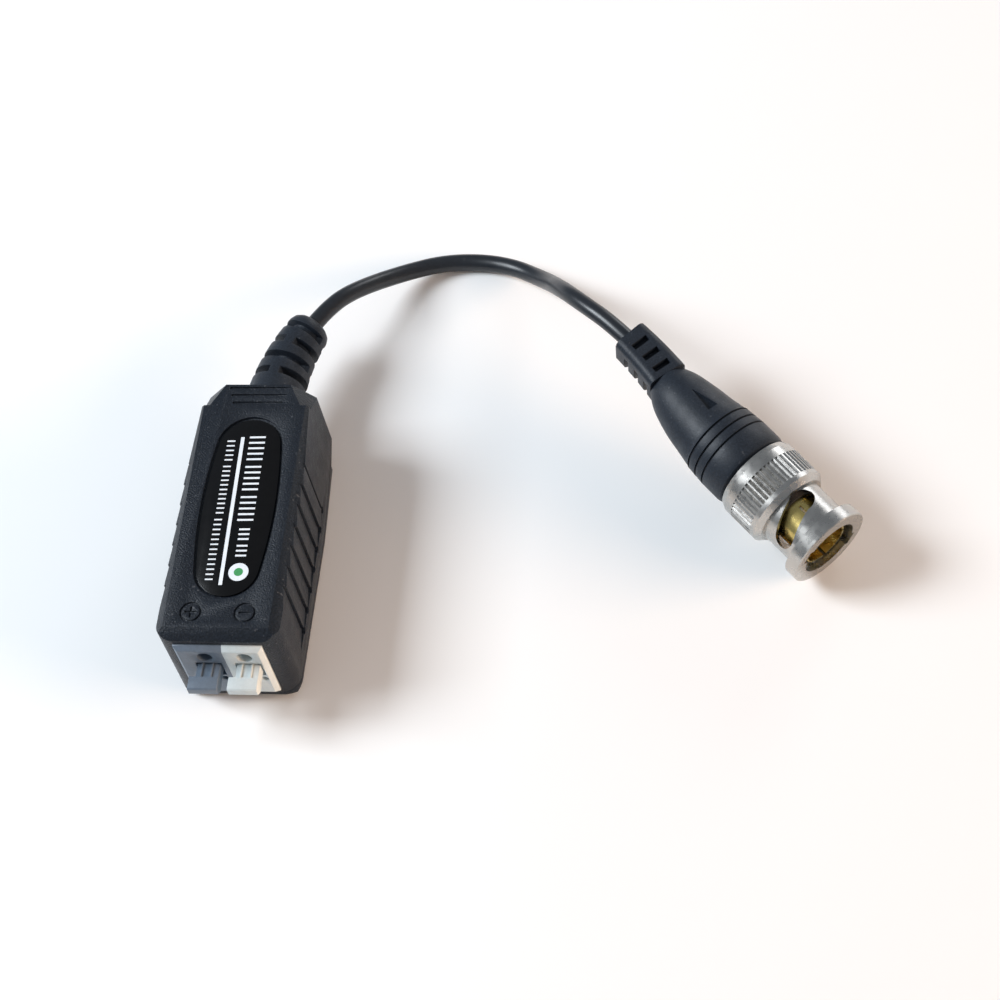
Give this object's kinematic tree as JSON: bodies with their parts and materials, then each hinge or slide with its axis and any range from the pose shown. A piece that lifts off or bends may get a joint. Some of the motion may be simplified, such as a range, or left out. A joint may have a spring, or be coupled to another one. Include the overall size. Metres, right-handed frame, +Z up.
{
  "type": "video balun",
  "caption": "Small plastic housing with two press-lever wire terminals, a ribbed strain relief and a short coaxial lead to a bayonet plug.",
  "frame": {"origin": "middle of the housing's underside, on the surface that it stands on", "axes": "+Y along the housing from the terminals to the cable outlet, +Z up, +X to the side the lead turns to"},
  "size_m": [0.1068, 0.0915, 0.0196],
  "materials": {
    "housing_plastic": "satin, fine grain",
    "label_plastic": "gloss",
    "grey_nylon": "satin",
    "white_nylon": "satin",
    "contact_metal": "tinned",
    "board": "satin",
    "ferrite": "matt",
    "enamelled_wire": "gloss",
    "film": "gloss",
    "arrester_body": "satin",
    "chip": "satin",
    "soft_vinyl": "satin",
    "dielectric": "satin",
    "copper": "drawn",
    "nickel_plate": "polished nickel plate",
    "gilt": "polished gilt plate",
    "ptfe": "satin",
    "seal_rubber": "matt",
    "spring_steel": "bright"
  },
  "bodies": {
    "base": {"upper_shell": "housing_plastic", "bottom_cover": "housing_plastic", "label_plate": "label_plastic", "terminal_grey": "grey_nylon", "terminal_white": "white_nylon", "contact_bar_grey": "contact_metal", "contact_bar_white": "contact_metal", "clamp_spring_grey": "spring_steel", "clamp_spring_white": "spring_steel", "circuit_board": "board", "toroid_core": "ferrite", "winding_left": "enamelled_wire", "winding_right": "enamelled_wire", "surge_arrester": "arrester_body", "film_capacitor": "film", "chip_resistors": "chip", "strain_relief": "soft_vinyl", "cable_end": "soft_vinyl", "core_wire": "copper", "braid_tail": "copper", "cable": "soft_vinyl", "plug_body": "nickel_plate", "contact_sleeve": "gilt", "insulator": "ptfe", "centre_pin": "gilt", "gasket": "seal_rubber", "spring_washer": "spring_steel", "crimp_ferrule": "nickel_plate", "cable_plug_end": "dielectric", "plug_boot": "soft_vinyl"},
    "lever_grey": {"lever_grey": "grey_nylon"},
    "lever_white": {"lever_white": "white_nylon"},
    "ring_clip": {"retaining_clip": "spring_steel"},
    "ring": {"coupling_ring": "nickel_plate"}
  },
  "joints": [
    {"name": "grey_lever_press", "type": "hinge", "parent": "base", "child": "lever_grey", "pos_m": [-0.00222, -0.02115, 0.0113], "axis": [1, 0, 0], "range_deg": [0, 12], "stiffness_Nm_per_rad": 0.12, "springref_deg": -6.88},
    {"name": "white_lever_press", "type": "hinge", "parent": "base", "child": "lever_white", "pos_m": [0.00413, -0.02115, 0.0113], "axis": [1, 0, 0], "range_deg": [0, 12], "stiffness_Nm_per_rad": 0.12, "springref_deg": -6.88},
    {"name": "ring_slide", "type": "slide", "parent": "base", "child": "ring_clip", "axis": [0.7039, -0.6965, -0.1392], "range_m": [0, 0.0005], "stiffness_N_per_m": 1500, "springref_m": -0.0003},
    {"name": "ring_turn", "type": "hinge", "parent": "ring_clip", "child": "ring", "pos_m": [0.09194, 0.00127, 0.00708], "axis": [0.7039, -0.6965, -0.1392], "continuous": true}
  ]
}
